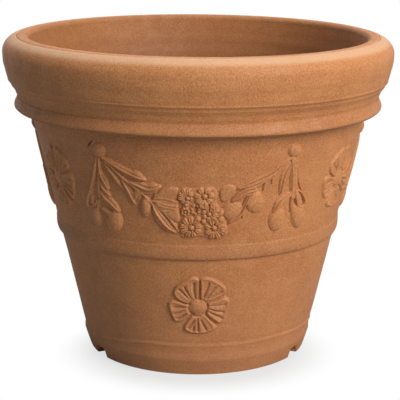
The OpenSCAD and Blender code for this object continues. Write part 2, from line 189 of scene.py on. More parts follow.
class Relief:
    """A patch of height above the wall's face on an even (u, z) grid, built up from strokes.

    Raised strokes run together softly. Cuts and rings are taken out afterwards. `gain` scales the whole height.
    """

    def __init__(self, strokes, pitch, soft, gain):
        strokes = [part for s in strokes for part in (self.veined(s) if s[0] == "blade" else [s])]
        reach = [self.extent(s) for s in strokes if s[0] not in ("cut", "ring")]
        lo = np.min([r[0] for r in reach], 0) - 3
        hi = np.max([r[1] for r in reach], 0) + 3
        self.pitch = pitch
        self.u, self.z = np.meshgrid(np.arange(lo[0], hi[0], pitch), np.arange(lo[1], hi[1], pitch), indexing="ij")
        self.h = np.zeros(self.u.shape)
        raised = np.zeros(self.u.shape)
        for s in strokes:
            if s[0] not in ("cut", "ring"):
                raised += self.on_grid(s) ** MERGE
        self.h = self.softened(raised ** (1 / MERGE), soft)
        carved = np.zeros(self.u.shape)
        for s in strokes:
            if s[0] in ("cut", "ring"):
                carved = np.maximum(carved, self.on_grid(s))
        edge = np.clip(self.h / 1.2, 0, 1)
        self.h = gain * self.softened(self.h - carved * edge, soft * 0.6)

    @staticmethod
    def veined(s):
        """A blade as a leaf with a channel on each side of its middle vein."""
        _, line, widths, height, depth = s
        p, w = np.array(line, float), np.array(widths, float)
        way = np.gradient(p, axis=0)
        across = np.stack([-way[:, 1], way[:, 0]], 1) / np.linalg.norm(way, axis=1)[:, None]
        parts = [("leaf", line, widths, height)]
        for side in (-0.42, 0.42):
            channel = p + side * w[:, None] * across
            parts.append(("cut", channel.tolist(), np.clip(0.16 * w + 0.1, 0.35, 0.9).tolist(), depth))
        return parts

    @staticmethod
    def extent(s):
        """Lowest and highest (u, z) that a raised stroke reaches."""
        if s[0] == "leaf":
            p, w = np.array(s[1], float), max(s[2])
        elif s[0] == "pad":
            p, w = np.array(s[1], float), 0.5
        else:
            p, w = np.array([s[1]], float), max(s[2])
        return p.min(0) - w, p.max(0) + w

    def on_grid(self, s):
        """Height, or depth, of one stroke at each point of the grid."""
        if s[0] == "dome":
            _, c, (a, b), turn, height = s
            t = math.radians(turn)
            x, y = self.u - c[0], self.z - c[1]
            d = ((x * math.cos(t) + y * math.sin(t)) / a) ** 2 + ((y * math.cos(t) - x * math.sin(t)) / b) ** 2
            return height * np.clip(1 - d, 0, 1) ** DOME_ROUND
        if s[0] == "ring":
            _, c, r, w, depth = s
            d = (np.hypot(self.u - c[0], self.z - c[1]) - r) / w
            return depth * np.exp(-(d**2))
        if s[0] == "pad":
            return self.pad(*s[1:])
        line = spline(np.column_stack([s[1], s[2]]), 5)
        line[:, 2] = np.maximum(line[:, 2], 0.3)
        out = np.zeros(self.u.shape)
        spread = 1.05 if s[0] == "leaf" else 2.6  # half widths that the stroke reaches out
        lo = line[:, :2].min(0) - line[:, 2].max() * spread - 1
        hi = line[:, :2].max(0) + line[:, 2].max() * spread + 1
        iu = np.nonzero((self.u[:, 0] >= lo[0]) & (self.u[:, 0] <= hi[0]))[0]
        iz = np.nonzero((self.z[0] >= lo[1]) & (self.z[0] <= hi[1]))[0]
        box = np.ix_(iu, iz)
        u, z = self.u[box], self.z[box]
        near = np.full(u.shape, 1e9)
        for (u0, z0, w0), (u1, z1, w1) in zip(line[:-1], line[1:]):
            du, dz = u1 - u0, z1 - z0
            t = np.clip(((u - u0) * du + (z - z0) * dz) / (du * du + dz * dz + 1e-9), 0, 1)
            near = np.minimum(near, np.hypot(u - u0 - t * du, z - z0 - t * dz) / (w0 + (w1 - w0) * t))
        if s[0] == "leaf":
            out[box] = s[3] * np.clip(1 - near**2, 0, 1) ** LEAF_ROUND
        else:
            out[box] = s[3] * np.exp(-(near**2))
        return out

    def pad(self, outline, height, edge):
        """A level pad inside a closed outline, rounded down over its edge."""
        p = spline(list(outline) + [outline[0]], 3)
        inside = np.zeros(self.u.shape, bool)
        near = np.full(self.u.shape, 1e9)
        for (u0, z0), (u1, z1) in zip(p[:-1], p[1:]):
            du, dz = u1 - u0, z1 - z0
            t = np.clip(((self.u - u0) * du + (self.z - z0) * dz) / (du * du + dz * dz + 1e-9), 0, 1)
            near = np.minimum(near, np.hypot(self.u - u0 - t * du, self.z - z0 - t * dz))
            cross = (z0 > self.z) != (z1 > self.z)
            inside ^= cross & (self.u < u0 + du * (self.z - z0) / (dz if abs(dz) > 1e-9 else 1e-9))
        s = np.clip(1 - near / edge, 0, 1)
        return np.where(inside, height * np.sqrt(np.clip(1 - s * s, 0, 1)), 0)

    def softened(self, h, sigma):
        """The heights blurred by a bell of the given width in millimetres."""
        n = int(math.ceil(3 * sigma / self.pitch))
        k = np.exp(-0.5 * (np.arange(-n, n + 1) * self.pitch / sigma) ** 2)
        k /= k.sum()
        for axis in (0, 1):
            padded = np.pad(h, [(n, n) if axis == x else (0, 0) for x in (0, 1)])
            h = sum(k[i] * np.take(padded, np.arange(i, i + h.shape[axis]), axis) for i in range(2 * n + 1))
        return h

    def covered(self):
        """Grid points that stand proud, the grid cells with such a corner, and all corners of those cells."""
        shown = self.h > SEATED_BELOW
        cells = shown[:-1, :-1] | shown[1:, :-1] | shown[:-1, 1:] | shown[1:, 1:]
        used = np.zeros(self.h.shape, bool)
        for i, j in ((0, 0), (1, 0), (0, 1), (1, 1)):
            used[i : i + cells.shape[0], j : j + cells.shape[1]] |= cells
        return shown, cells, used

    def piece(self, name, at, turn):
        """The relief as a closed shell seated in the wall, its middle moved to a place on the wall."""
        shown, cells, used = self.covered()
        number = np.full(self.h.shape, -1)
        number[used] = np.arange(used.sum())
        count = int(used.sum())
        h = np.where(shown, self.h, np.minimum(self.h, -EDGE_SUNK))[used]
        u, z = self.u[used] + at[0], self.z[used] + at[1]
        a = u / wall_radius(z) + turn
        base = face_radius(a, z)
        top = np.stack([base + h * math.cos(TILT), z - h * math.sin(TILT)], 1)
        back = np.stack([base - BACK_SUNK, z], 1)
        rz = np.vstack([top, back])
        aa = np.concatenate([a, a])
        xyz = np.stack([rz[:, 0] * np.sin(aa), -rz[:, 0] * np.cos(aa), rz[:, 1]], 1)
        ci, cj = np.nonzero(cells)
        quad = np.stack([number[ci, cj], number[ci + 1, cj], number[ci + 1, cj + 1], number[ci, cj + 1]], 1)
        faces = [quad, quad[:, ::-1] + count]
        framed = np.pad(cells, 1)
        sides = (((0, -1), 0, 1), ((1, 0), 1, 2), ((0, 1), 2, 3), ((-1, 0), 3, 0))
        for (di, dj), e0, e1 in sides:
            open_side = ~framed[ci + 1 + di, cj + 1 + dj]
            p, q = quad[open_side, e0], quad[open_side, e1]
            faces.append(np.stack([q, p, p + count, q + count], 1))
        return new_piece(name, xyz, np.vstack(faces).tolist(), SHARP_PRESSED)


# ---- What the ornament is made of ---------------------------------------------------------------------------------

# Strokes of the pressed ornament. Each is one of
#   ("leaf", line, half widths, height)        a rounded blade or stem along a line
#   ("blade", line, half widths, height, depth) a leaf with a channel on each side of its vein
#   ("dome", middle, half axes, turn, height)  a fruit, petal or boss
#   ("pad", outline, height, edge)             a level patch with a rounded edge
#   ("cut", line, half widths, depth)          a tooled groove along a line
#   ("ring", middle, radius, half width, depth)


def floret(boss, radius, ring, reach, petals, start, groove, height):
    """Strokes of a small flower. Its petals run from the boss out to a circle round `ring`, which may lie off the
    boss where the flower leans, and each has a groove down its middle."""
    half = reach * math.sin(math.pi / petals) * 0.78
    strokes = []
    for k in range(petals):
        a = math.radians(start + 360 * k / petals)
        tip = np.array(ring) + (reach - half) * np.array([math.cos(a), math.sin(a)])
        way = (tip - boss) / np.linalg.norm(tip - boss)
        root = np.array(boss) + way * (max(radius, 1.6) + 0.9)
        line = [tuple(root), tuple((root + tip) / 2), tuple(tip)]
        strokes.append(("leaf", line, [half * 0.45, half * 0.8, half], height))
        if groove:
            strokes.append(("cut", [tuple(root + way), tuple(tip + way * half * 0.5)], [0.5, 0.7], groove * 1.25))
    if radius:
        strokes.append(("ring", boss, radius + 0.6, 0.7, 1.5))
        strokes.append(("dome", boss, (radius, radius), 0, height + 0.5))
    else:
        strokes.append(("cut", [(boss[0] - 0.2, boss[1] - 2), (boss[0] + 0.4, boss[1] + 2.4)], [1.9, 2.1], 4.4))
    return strokes


FLOWER_CLUSTER = [
    ("pad", [(-25, 252.4), (-16.8, 254.6), (-8.7, 253.5), (0.5, 254.9), (11, 254.9), (19.1, 252.9), (20.9, 243.9),
        (20.4, 236.2), (24, 228.4), (26.5, 219.3), (31.4, 210), (34.3, 200.7), (30.4, 193), (23.3, 189.3),
        (12.7, 188.8), (0.9, 191.6), (-10.9, 189.5), (-20.3, 190.5), (-24.5, 199.5), (-22.7, 210.1), (-18, 216.7),
        (-21.5, 225.7), (-20.3, 234.7), (-25.7, 239.6), (-26.4, 247.3)], 1.4, 3.0),
    ("dome", (-15.5, 233.3), (3.6, 3.6), 0, 4.8),
    ("ring", (-15.5, 233.3), 2.0, 0.5, 0.9),
    ("dome", (17.7, 215.7), (3.2, 3.4), 0, 5.0),
    ("ring", (17.7, 215.7), 1.9, 0.5, 0.9),
    ("pad", [(-1.4, 236.8), (4.4, 239), (10.4, 236.4), (10, 231), (5.2, 227.6), (-0.6, 230.4)], 5, 1.8),
    ("pad", [(24, 204.6), (29.8, 207.6), (33.6, 203.6), (33, 195.8), (28, 193.6), (24.2, 197.8)], 5, 2),
    ("dome", (25, 222.4), (4.2, 5.6), -30, 4.5),
    ("dome", (25.6, 213.4), (4.6, 5), -20, 4.4),
    ("dome", (16.7, 230), (5.4, 5), 0, 4.6),
    ("dome", (-1.6, 214.7), (4, 4.2), 0, 4.4),
    ("dome", (5, 211.5), (3.6, 4.4), 0, 4.4),
    ("cut", [(15, 233), (14.8, 227.4)], [0.5, 0.5], 1.1),
    ("cut", [(18.2, 233), (18.4, 227.4)], [0.5, 0.5], 1.1),
    ("cut", [(10.9, 233.2), (10.8, 229.6), (11.4, 226)], [0.7, 0.7, 0.6], 2),
]
for flower in (
    ((-13.8, 241.6), 2.8, (-16.5, 243.8), 10.2, 8, 18, 1.3, 4.7),
    ((5.9, 244.1), 3.7, (5.0, 243.2), 13, 7, -90, 0.9, 4.6),
    ((-16.5, 224.0), 1.8, (-16.2, 224.6), 6.3, 7, 10, 0.9, 4.5),
    ((-4.4, 226.9), 0, (-4.6, 227.1), 7.4, 7, -40, 0.6, 4.7),
    ((11.4, 221.2), 3, (13.0, 222.0), 11.6, 8, 30, 1.1, 4.5),
    ((-9.2, 203.7), 3.9, (-10.1, 204.3), 14, 9, 10, 1.5, 4.7),
    ((17.2, 203.4), 3.9, (18.3, 201.3), 13.6, 8, -112, 1.3, 4.7),
):
    FLOWER_CLUSTER += floret(*flower)

SWAG_LEFT = [
    ("pad", [(-56, 239.7), (-52.3, 245.8), (-46.2, 250.1), (-39.1, 253.3), (-32, 254.3), (-25.5, 253), (-24.6, 247.3),
        (-27.9, 238.9), (-40.4, 237.9), (-50, 238)], 2.4, 2.6),
    ("pad", [(-56.1, 237.8), (-46.3, 238.5), (-34.4, 238), (-26.2, 236.4), (-25, 230.7), (-26.8, 224.2),
        (-36.9, 222.4), (-42.9, 220.7), (-50.1, 226.7)], 2.2, 2),
    ("pad", [(-39.3, 221.6), (-32.1, 224.2), (-24.4, 225.6), (-22.7, 217.9), (-24.7, 209.6), (-31, 212.3),
        (-36.9, 216.5)], 3, 2.4),
    ("dome", (-64, 227.6), (7.4, 13.4), 0, 4.4),
    ("dome", (-74.6, 265.1), (8.6, 6.4), -32, 2.9),
    ("dome", (-55.1, 252.2), (8.2, 6.8), -10, 3.2),
    ("dome", (-74.5, 242.8), (6, 9.6), -12, 3.2),
    ("leaf", [(-117.4, 280.4), (-105.1, 271.2), (-93.3, 262.1), (-83, 254.8), (-72.9, 247.4), (-63.1, 240),
        (-56.3, 232.9)], [0.9, 1.1, 1.2, 1.2, 1.2, 1.2, 1.1], 3.6),
    ("leaf", [(-57.2, 236.2), (-49.7, 234.9), (-39, 232), (-26, 230.4)], [1.2, 1.4, 1.5, 1.3], 3.5),
    ("leaf", [(-54.5, 238.7), (-43.7, 239.5), (-34.2, 238.2), (-26, 236)], [1.2, 1.4, 1.4, 1.2], 3.2),
    ("leaf", [(-50.9, 232.8), (-40.2, 228.6), (-28.4, 227.5)], [1.1, 1.4, 1.3], 3.4),
    ("leaf", [(-43.8, 223.2), (-34.3, 224.3), (-26, 226.8)], [1.1, 1.4, 1.2], 3.1),
    ("blade", [(-121.8, 284.7), (-108.9, 279.2), (-94.3, 272.2), (-80.1, 266.3), (-65.7, 262.3)],
        [1.3, 3.1, 4.3, 4.9, 2], 3.8, 1.8),
    ("blade", [(-119.8, 279.3), (-111.3, 270.2), (-102.8, 260.5), (-94.5, 249.1)], [1.1, 2.5, 2.9, 1.1], 3.3, 1.4),
    ("blade", [(-93.9, 259.2), (-88.3, 250.4), (-83.3, 241.1), (-77.6, 230.3)], [1.4, 4, 4.8, 1.4], 3.5, 1.7),
    ("blade", [(-84.2, 257.8), (-72.8, 253.8), (-60.5, 249.8), (-47.8, 254)], [1.5, 5.2, 6.8, 2.4], 3.9, 2),
    ("blade", [(-55.3, 231.7), (-50.6, 220.4), (-43.9, 210.5), (-36.8, 202.6), (-27.8, 197.1)], [1.5, 4.8, 6, 5, 1.4],
        3.9, 1.8),
    ("blade", [(-41.4, 221.8), (-34.3, 213.7), (-28.9, 206.2), (-24.4, 197.7)], [1.5, 2.8, 2.8, 1.1], 3.4, 1.3),
    ("cut", [(-56.2, 230.6), (-56.5, 223.6), (-55.1, 217.2)], [0.6, 0.7, 0.6], 1.4),
    ("cut", [(-50.7, 245.2), (-46.8, 250.5)], [0.7, 0.8], 1.8),
    ("cut", [(-64.5, 219.7), (-62.1, 217.1), (-59.5, 219.6)], [0.5, 0.6, 0.5], 1.2),
    ("cut", [(-72.2, 240.8), (-75.4, 234.7), (-76.8, 230.7)], [0.6, 0.8, 0.8], 1.6),
    ("cut", [(-80.3, 258.2), (-74.4, 258.3), (-67.3, 259.4)], [0.7, 0.8, 0.8], 1.9),
]

SWAG_RIGHT = [
    ("pad", [(23.9, 238.7), (23.8, 250.9), (29.6, 256.4), (36.6, 257.4), (42.6, 253.4), (40.3, 247.1), (35.7, 239.6),
        (29.9, 234.7)], 1.7, 3.6),
    ("dome", (66.9, 233.5), (12.2, 15), 10, 3.7),
    ("dome", (40, 223.4), (13.4, 13), 0, 4.1),
    ("leaf", [(111, 281.1), (99.6, 272.7), (87.9, 265.1), (74, 258.4), (62.2, 251.7), (55.2, 246.5)],
        [0.9, 1.3, 1.7, 2.2, 1.9, 1.3], 3.7),
    ("leaf", [(82.2, 264.1), (79.4, 257.5), (77.1, 248.7)], [1.8, 2.2, 1.3], 2.6),
    ("leaf", [(89.2, 265.5), (88.6, 260.4), (88.3, 255.8)], [1.6, 1.7, 1], 2.1),
    ("leaf", [(51.8, 225.8), (53.1, 220.8), (51.3, 214.9)], [1.3, 1.6, 1], 3.6),
    ("blade", [(112.2, 285.1), (99.9, 276.5), (86.8, 267.3), (73.9, 261.5), (60.4, 256.7), (46.2, 252.9)],
        [1.5, 3.4, 4.4, 4.7, 4.1, 1.4], 4.6, 2.9),
    ("blade", [(68, 250), (58.1, 248.4), (49.2, 244.1), (39.1, 237.4)], [1.7, 4.6, 4.9, 1.6], 4.9, 2.6),
    ("blade", [(63.8, 248), (58.3, 241.2), (54.8, 233.7), (52, 226.6), (47.3, 218.9), (35.5, 209.3)],
        [1.3, 2, 2.5, 3, 3.2, 1.4], 5.3, 2),
    ("cut", [(73.8, 253.1), (75.3, 246.5), (78, 235.9)], [0.7, 0.9, 0.7], 1.9),
    ("cut", [(62.6, 221.7), (63, 221)], [1, 1], 1.5),
    ("cut", [(56.2, 230.7), (54.4, 223.9), (52, 217.2), (46.3, 211.3)], [0.6, 0.8, 0.9, 0.6], 2),
]

PENDANT_LEFT = [
    ("dome", (-133.6, 204.5), (7.6, 13.6), 6, 3.6),
    ("dome", (-106.6, 203.5), (11.8, 15.4), -12, 5.2),
    ("leaf", [(-147.2, 225.6), (-147.9, 218.8), (-142.1, 217.2), (-133.9, 221.6), (-131.2, 227.7)],
        [1, 1.3, 1.4, 1.4, 1], 3.5),
    ("leaf", [(-138.1, 231.3), (-139.7, 224.3), (-136.5, 222.3)], [2, 2.8, 2.2], 2.4),
    ("leaf", [(-125.4, 282.9), (-125.6, 270), (-127.3, 256.8), (-127.2, 243.7), (-126.8, 231.9)],
        [1.2, 1.3, 1.2, 1.3, 1.1], 3.5),
    ("leaf", [(-128.2, 229), (-130.1, 220.7), (-132.3, 216.3)], [1.4, 1.9, 2.4], 2.6),
    ("leaf", [(-123, 217.9), (-117.2, 214.9), (-112.1, 211.2)], [2, 3.4, 5], 3.2),
    ("blade", [(-128.7, 283.2), (-131.5, 269.2), (-135.7, 254.2), (-141.5, 238.7), (-147.7, 224.7)],
        [1.5, 3, 3.7, 4.4, 2.6], 3.5, 1.6),
    ("blade", [(-125.6, 270), (-122.6, 260.6), (-118.5, 252.9), (-113.6, 245.3)], [1.3, 3.6, 4.6, 1.6], 3.5, 1.6),
    ("blade", [(-125.4, 253.2), (-120.5, 244.8), (-112.3, 236.8)], [1.3, 3.9, 1.6], 3.5, 1.5),
    ("blade", [(-125.3, 240.6), (-118.4, 232.7), (-109.3, 225.9), (-99.4, 217.9)], [1.6, 4.8, 6.2, 2], 3.7, 1.6),
    ("cut", [(-128.9, 281.6), (-129, 271.9), (-129.9, 258.8), (-131.5, 245.5), (-130.8, 236.3), (-130, 229.9)],
        [0.5, 0.5, 0.5, 0.6, 0.9, 0.7], 1.9),
    ("cut", [(-116.1, 246.3), (-115.8, 245.8)], [0.9, 0.9], 1.4),
    ("cut", [(-115.1, 237), (-114.8, 236.5)], [0.9, 0.9], 1.4),
    ("cut", [(-126.3, 218.5), (-124.3, 210.8), (-122.9, 203)], [0.9, 1.2, 1], 1.5),
]

PENDANT_RIGHT = [
    ("dome", (96.9, 208.2), (11.4, 16.6), -8, 4.5),
    ("dome", (128.6, 208.5), (11.2, 17.4), 4, 4.7),
    ("leaf", [(113.3, 286), (114.9, 273), (116.3, 259.9), (116.8, 246.7), (116.5, 233.6)], [1, 1.3, 1.5, 1.4, 1.1],
        3.7),
    ("leaf", [(116.4, 285.6), (118.7, 272.5), (120.2, 259.3), (121.4, 246.1), (122.5, 234.1)],
        [0.9, 1.2, 1.3, 1.2, 1], 3.5),
    ("leaf", [(119.7, 284.5), (123.2, 271.9), (125.6, 258.6), (129.3, 247.6), (133.1, 239.6)],
        [0.9, 1.1, 1.1, 1, 0.8], 2.7),
    ("leaf", [(122, 242.1), (128.2, 241.4), (135, 233.4), (138.1, 224.9), (134.2, 220.2), (127.2, 222.7),
        (123.7, 230.4), (122.4, 240.7)], [1, 1.2, 1.4, 1.5, 1.6, 1.5, 1.2, 1], 4.2),
    ("leaf", [(124.7, 238.5), (128, 231.3), (130.8, 224.8)], [3.6, 5.2, 4.4], 3.2),
    ("leaf", [(112.7, 275.8), (107.9, 260.9), (103, 247.2)], [0.8, 1, 0.8], 3.9),
    ("leaf", [(116.6, 232.3), (116.3, 223), (116.5, 216.3)], [1.1, 1.3, 1.1], 3.3),
    ("leaf", [(116.1, 285.7), (117.7, 270), (119, 254.3), (119.1, 234.6)], [3.4, 5.4, 6, 4.2], 2.8),
    ("blade", [(112.8, 278.9), (107.2, 267.9), (103.7, 255.7), (100.2, 241.5)], [1.6, 5.2, 5.6, 1.6], 3.8, 2),
    ("blade", [(116.9, 240.9), (107.6, 235.1), (99.2, 228.3), (91.7, 219.5)], [1.7, 5.2, 5.8, 1.8], 5, 2.7),
    ("cut", [(116.8, 213.4), (119.8, 202.2), (126, 192.1)], [0.9, 1.1, 0.9], 0.6),
    ("cut", [(98.8, 194.1), (99.2, 193.2)], [1, 1], 1.5),
]

ROSETTE = [
    ("pad", [(1.1, 37.9), (-2.2, 40.6), (-7, 41), (-13, 37.5), (-19.6, 34), (-25, 29.3), (-28.8, 24), (-29, 18.2),
        (-23.8, 12.6), (-18.4, 8.8), (-11.7, 6.1), (1.3, 4.3)], 3.0, 2.4),
    ("pad", [(2.7, 37.8), (6.7, 40.4), (12.2, 40.7), (20.3, 36.7), (28.5, 30.4), (33.5, 25.2), (33.9, 19.3),
        (28.1, 14.7), (17.8, 10.3), (11.2, 8.1), (2.9, 5.7)], 3.0, 2.4),
    ("pad", [(11.8, 6.2), (19, 9), (28.7, 12.8), (35.5, 12.3), (39, 7.8), (37.8, 1.6), (35.7, -7.3), (33.2, -15.5),
        (28.2, -22.6), (23, -21.5), (15.6, -14.8), (10.1, -8.5)], 3.0, 2.4),
    ("pad", [(8.9, -10.2), (15.6, -16.7), (22, -23.7), (22.3, -29.1), (18.2, -32.7), (11.5, -35.4), (0.5, -36.8),
        (-9.8, -35.4), (-16.2, -31.6), (-16.9, -26.3), (-13, -20.2), (-7, -11.6), (-0.2, -5.4)], 3.0, 2.4),
    ("pad", [(-8.9, -10.1), (-14.7, -15.9), (-21.1, -20.3), (-26.7, -20.3), (-30.7, -15.6), (-33.6, -8),
        (-36.1, -0.6), (-36, 4.9), (-31.3, 8.9), (-24.5, 8.1), (-17.2, 5.3), (-11.1, 3.6)], 3.0, 2.4),
    ("leaf", [(-10.3, 5.1), (-18.2, 8.6), (-24.3, 13), (-27.9, 18.9), (-26.9, 24.7), (-21.8, 30.4), (-14.7, 35.4),
        (-6.9, 39.4), (-1.6, 38.9)], [0.9, 1.2, 1.4, 1.6, 1.6, 1.6, 1.6, 1.5, 1.2], 4.4),
    ("leaf", [(-0.2, 38.1), (0, 26.7), (0.1, 14.3)], [1.3, 1.4, 1.2], 4.4),
    ("leaf", [(4.1, 37.6), (4.3, 26.7), (4.2, 14.4)], [1.3, 1.7, 1.3], 4.4),
    ("leaf", [(6.1, 38.7), (12.7, 38.9), (21.1, 34.6), (28.8, 28.8), (32.1, 23.1), (27.9, 17.3), (18.9, 13),
        (12.3, 10.7)], [1.3, 1.7, 1.9, 1.9, 1.7, 1.4, 1.2, 0.9], 4.4),
    ("leaf", [(12.7, 4.6), (21.3, 7.6), (29.8, 10.3), (35.9, 8.2), (35.5, 2.1), (33.6, -7.5), (30.9, -16.3),
        (26, -20.5)], [0.9, 1.2, 1.6, 1.8, 1.5, 1.4, 1.4, 1.4], 4.4),
    ("leaf", [(12.5, -7.9), (18.5, -13.7), (25.6, -19.9)], [1.6, 2.4, 1.8], 4.5),
    ("leaf", [(9.7, -12.7), (15.1, -19.9), (19, -28.4)], [1.4, 2.4, 1.8], 4.4),
    ("leaf", [(18.8, -30), (9.6, -33.5), (-0.1, -34.5), (-9.1, -32.9), (-14.4, -28.9)], [1.4, 1.3, 1.3, 1.4, 1.4],
        4.2),
    ("leaf", [(-5.9, -12.8), (-10.5, -18.5), (-14.6, -25.8)], [1, 1.3, 1.5], 4.4),
    ("leaf", [(-10, -8.5), (-15.3, -13.7), (-21.4, -18), (-26.3, -17.7)], [1.1, 1.4, 1.5, 1.4], 4.4),
    ("leaf", [(-27.5, -16.4), (-30.7, -8.5), (-33.2, 0.5), (-32.8, 5.3), (-25.5, 6.3), (-17, 3.7), (-11.5, 2.5)],
        [1.5, 1.5, 1.5, 1.5, 1.3, 1.1, 0.9], 4.4),
    ("leaf", [(-8.5, 33.4), (-8.4, 23.8), (-5.9, 13.6)], [1, 1.1, 0.8], 4.2),
    ("leaf", [(-12.7, 32.4), (-11.5, 25.7), (-8.9, 17)], [2, 1.9, 0.8], 4.2),
    ("leaf", [(-19.7, 28.1), (-15.8, 21.9), (-10.3, 13.6)], [0.9, 1, 0.7], 4.1),
    ("leaf", [(17.1, 27), (12.3, 19.2), (7.4, 11.6)], [1.2, 1.2, 0.8], 4.2),
    ("leaf", [(23.1, 22.7), (18.3, 19.1), (13.3, 13.7)], [1.7, 1.6, 0.8], 3.9),
    ("leaf", [(29.3, -2.5), (21.4, -2.1), (13.7, 0.4)], [1.5, 1.6, 0.9], 4.2),
    ("leaf", [(29.3, -10.3), (22, -7.9), (13.5, -3.7)], [1, 1.1, 0.8], 4.1),
    ("leaf", [(-2.6, -32.2), (-2.1, -23.2), (-1.4, -14.8)], [1.1, 1.1, 0.7], 4.1),
    ("leaf", [(4.3, -32.5), (2.8, -24.6), (1.5, -14.8)], [1.6, 1.5, 0.8], 4.1),
    ("leaf", [(-29.2, -6.2), (-21.9, -3.7), (-13.4, -1.4)], [1.1, 1.2, 0.8], 4.1),
    ("leaf", [(-26.8, -13), (-20.2, -9.2), (-12.9, -4.5)], [1.3, 1.3, 0.8], 4.1),
    ("cut", [(-5.3, 32.6), (-5.1, 23.5), (-3.2, 13.1)], [1.5, 1.4, 0.6], 2.6),
    ("cut", [(-16.7, 27.6), (-13.5, 21.4), (-8.8, 13.3)], [1, 0.9, 0.5], 2.2),
    ("cut", [(-23, 24), (-17.9, 19.3), (-11.6, 13)], [1.2, 1, 0.6], 2.4),
    ("cut", [(12.7, 32.3), (10.3, 24.1), (6.8, 14.3)], [1.5, 1.3, 0.6], 2.5),
    ("cut", [(20.5, 26.9), (16.7, 21.2), (11, 12.8)], [1.3, 1, 0.6], 2.2),
    ("cut", [(28.1, 21.3), (22.6, 17.2), (15.4, 12.5)], [1.5, 1.1, 0.6], 1.8),
    ("cut", [(32.9, 3.4), (25.2, 2.4), (15.4, 2.8)], [1.1, 1, 0.5], 1.8),
    ("cut", [(30.7, -6.8), (22.1, -5.2), (13.8, -2.2)], [1.1, 1, 0.6], 2.3),
    ("cut", [(29.3, -15.4), (22.1, -11.4), (14.3, -6.1)], [1.3, 1.1, 0.6], 2.4),
    ("cut", [(-11.5, -28.9), (-8, -23.7), (-3.6, -17.4)], [1.3, 1.3, 0.7], 2.4),
    ("cut", [(-5.9, -32.4), (-4.7, -25.9)], [1.3, 1], 1.8),
    ("cut", [(0.3, -33.3), (0.1, -23.6), (-0, -15.1)], [0.9, 0.8, 0.5], 2.4),
    ("cut", [(10.1, -31.2), (7.4, -25), (3.8, -17.4)], [1.5, 1.3, 0.6], 2.4),
    ("cut", [(-27.9, -0.8), (-20.8, 0.1), (-13.5, 0)], [1.6, 1.4, 0.6], 2.4),
    ("cut", [(-29.9, -9.9), (-22.8, -7.4), (-15.2, -4.3)], [0.9, 0.8, 0.5], 2),
    ("cut", [(-25.2, -16.9), (-20.1, -13.8), (-14, -8.2)], [1.5, 1.3, 0.7], 2.4),
    ("cut", [(1.8, 40), (1.8, 26.4), (1.6, 11.3)], [0.8, 0.9, 1.1], 4.6),
    ("cut", [(36.1, 16.2), (26.3, 12.1), (16.6, 8.4), (11.3, 6.8)], [0.7, 0.7, 0.7, 0.6], 3.6),
    ("cut", [(25.5, -26.4), (18.8, -20.4), (13.2, -14.7), (9, -9.3)], [0.9, 0.9, 0.9, 0.8], 4.4),
    ("cut", [(-20.1, -25), (-14.7, -18.3), (-9.9, -12.4), (-5.8, -8.2)], [1, 0.9, 0.8, 0.7], 4.4),
    ("cut", [(-33.5, 12.6), (-25.7, 10.1), (-17.6, 6.4), (-10.4, 3.9)], [1.1, 0.9, 0.8, 0.7], 4.4),
    ("ring", (0, 0), 11.9, 1.0, 1.7),
    ("dome", (0, 0), (11.2, 11.2), 0, 4.9),
]

KNOB_LEFT = [
    ("dome", (0, 0), (9.6, 9.4), 0, 4.6),
    ("dome", (0.6, 1), (6, 6), 0, 4.2),
]

KNOB_RIGHT = [
    ("dome", (0, 0), (9.6, 9.2), 0, 4.6),
    ("dome", (-0.5, 0.8), (6, 6), 0, 4.2),
]


# ---- Materials ----------------------------------------------------------------------------------------------------


